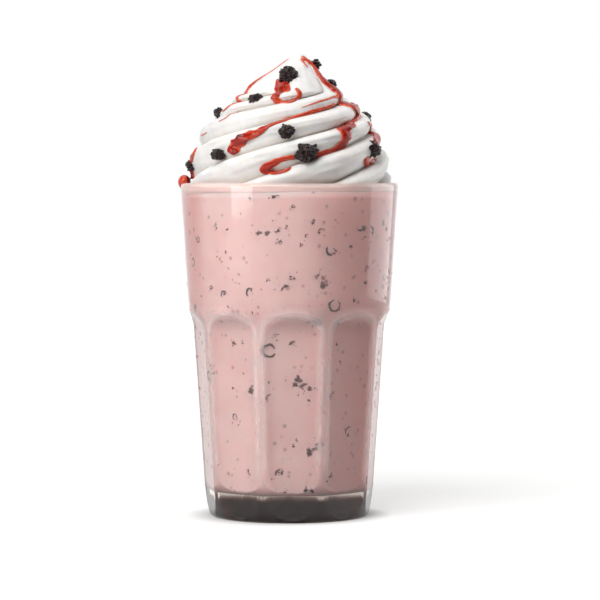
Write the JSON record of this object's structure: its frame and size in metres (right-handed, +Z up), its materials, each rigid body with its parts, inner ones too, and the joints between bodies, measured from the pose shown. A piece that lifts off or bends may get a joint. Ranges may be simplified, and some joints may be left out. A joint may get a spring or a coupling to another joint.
{
  "type": "blackcurrant milkshake",
  "caption": "Blackcurrant milkshake in a pressed tumbler with arch-topped panels, topped with a twisted whipped cream swirl, fruit sauce and shrivelled blackcurrants.",
  "frame": {"origin": "middle of the underside of the glass", "axes": "+Z up along the glass's axis, -Y to the front, +X to the right"},
  "size_m": [0.088, 0.088, 0.187],
  "materials": {
    "glass": "pressed soda-lime glass, fire-polished and clear",
    "milkshake": "smooth pale pink milkshake with dark flecks of fruit skin",
    "whipped_cream": "soft satin white whipped cream",
    "blackcurrant": "wrinkled near-black skin with a soft shine",
    "fruit_sauce": "wet translucent red fruit sauce",
    "fruit_skins": "dark crushed skins in the milkshake"
  },
  "bodies": {
    "root": {"glass": "glass", "milkshake": "milkshake", "whipped_cream": "whipped_cream", "blackcurrant_01": "blackcurrant", "blackcurrant_02": "blackcurrant", "blackcurrant_03": "blackcurrant", "blackcurrant_04": "blackcurrant", "blackcurrant_05": "blackcurrant", "blackcurrant_06": "blackcurrant", "blackcurrant_07": "blackcurrant", "blackcurrant_08": "blackcurrant", "blackcurrant_09": "blackcurrant", "blackcurrant_10": "blackcurrant", "blackcurrant_11": "blackcurrant", "blackcurrant_12": "blackcurrant", "blackcurrant_13": "blackcurrant", "blackcurrant_14": "blackcurrant", "blackcurrant_15": "blackcurrant", "blackcurrant_16": "blackcurrant", "blackcurrant_17": "blackcurrant"}
  },
  "joints": []
}
